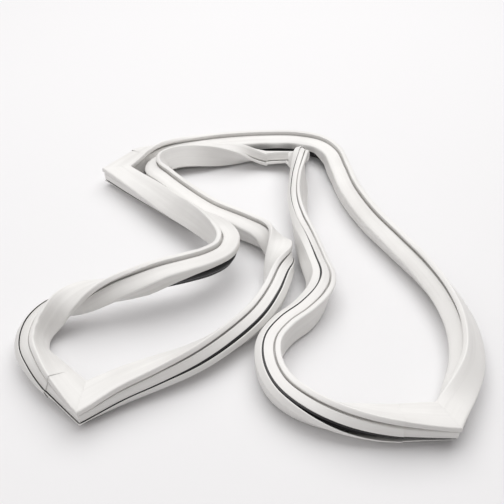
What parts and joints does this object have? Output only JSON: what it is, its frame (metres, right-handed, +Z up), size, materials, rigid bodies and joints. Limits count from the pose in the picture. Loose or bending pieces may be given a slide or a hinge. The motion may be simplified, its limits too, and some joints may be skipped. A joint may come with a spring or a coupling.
{
  "type": "refrigerator door gasket",
  "caption": "White magnetic refrigerator door gasket with charcoal push-in strips, lying in a loosely folded loop.",
  "frame": {"origin": "middle of the outline, on the table the gasket lies on", "axes": "+Z up from the table, -Y towards the viewer of the picture, +X to the viewer's right"},
  "size_m": [0.384, 0.4272, 0.0478],
  "materials": {
    "white_vinyl": "satin",
    "charcoal_vinyl": "satin",
    "flexible_magnet": "matte"
  },
  "bodies": {
    "root": {"gasket_profile": "white_vinyl", "dart_strip_bottom": "charcoal_vinyl", "dart_strip_hinge": "charcoal_vinyl", "dart_strip_top": "charcoal_vinyl", "dart_strip_handle": "charcoal_vinyl", "magnet_strip_bottom": "flexible_magnet", "magnet_strip_hinge": "flexible_magnet", "magnet_strip_top": "flexible_magnet", "magnet_strip_handle": "flexible_magnet"}
  },
  "joints": []
}
